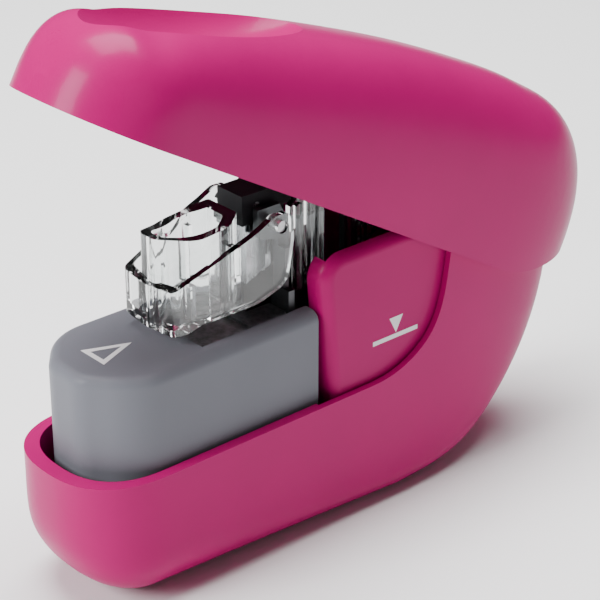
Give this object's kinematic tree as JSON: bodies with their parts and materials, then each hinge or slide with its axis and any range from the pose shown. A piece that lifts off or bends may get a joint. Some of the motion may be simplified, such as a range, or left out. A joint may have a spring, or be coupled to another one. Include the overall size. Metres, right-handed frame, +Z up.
{
  "type": "stapler",
  "caption": "Hand-held staple-free stapler: pink lever and boat-shaped base, grey paper table, clear presser with sight window, blade carrier that slides down through the table",
  "frame": {"origin": "middle of the flat resting face, on its underside", "axes": "+X from the nose to the rear, +Y across the width to the far side, +Z up"},
  "size_m": [0.111, 0.0296, 0.0928],
  "materials": {
    "pink_shell": "satin moulded, slight gloss",
    "pink_frame": "satin moulded",
    "pink_lever": "satin moulded, slight gloss",
    "grey_table": "matte moulded",
    "die_steel": "ground, dark",
    "dark_steel": "blackened sheet",
    "blade_steel": "ground edge",
    "pin_steel": "turned",
    "spring_steel": "drawn wire",
    "screw_steel": "zinc plated",
    "black_plastic": "matte moulded",
    "clear_plastic": "polished clear plastic"
  },
  "bodies": {
    "base": {"base_shell": "pink_shell", "inner_frame": "pink_frame", "paper_table": "grey_table", "die_plate": "die_steel", "base_screws": "screw_steel", "pusher_pin": "pin_steel", "blade_guide": "dark_steel", "blade_housing": "clear_plastic", "presser_pins": "pin_steel", "return_spring": "spring_steel", "lever_pin": "pin_steel"},
    "pusher": {"fold_pusher": "black_plastic"},
    "presser": {"presser_window": "clear_plastic"},
    "carrier": {"blade_carrier": "black_plastic", "tongue_blade": "blade_steel", "slit_blade": "blade_steel", "blade_rivets": "pin_steel"},
    "lever": {"lever_cover": "pink_lever", "lever_arm": "dark_steel", "drive_pin": "pin_steel", "pivot_sleeve": "black_plastic", "arm_screws": "screw_steel"}
  },
  "joints": [
    {"name": "lever_hinge", "type": "hinge", "parent": "base", "child": "lever", "pos_m": [0.037, 0, 0.048], "axis": [0, -1, 0], "range_deg": [0, 18], "stiffness_Nm_per_rad": 0.6, "springref_deg": -6.88},
    {"name": "blade_slide", "type": "slide", "parent": "base", "child": "carrier", "axis": [0, 0, -1], "range_m": [0, 0.0112], "deforming": ["return_spring"]},
    {"name": "presser_hinge", "type": "hinge", "parent": "base", "child": "presser", "pos_m": [-0.0105, 0, 0.055], "axis": [0, -1, 0], "range_deg": [0, 4.1]},
    {"name": "pusher_hinge", "type": "hinge", "parent": "base", "child": "pusher", "pos_m": [-0.025, 0, 0.032], "axis": [0, 1, 0], "range_deg": [0, 12.1]}
  ],
  "couplings": [
    {"joint": "blade_slide", "follows": "lever_hinge", "m_per_rad": 0.0353},
    {"joint": "presser_hinge", "follows": "lever_hinge", "ratio": 0.222},
    {"joint": "pusher_hinge", "follows": "lever_hinge", "ratio": 0.666}
  ]
}
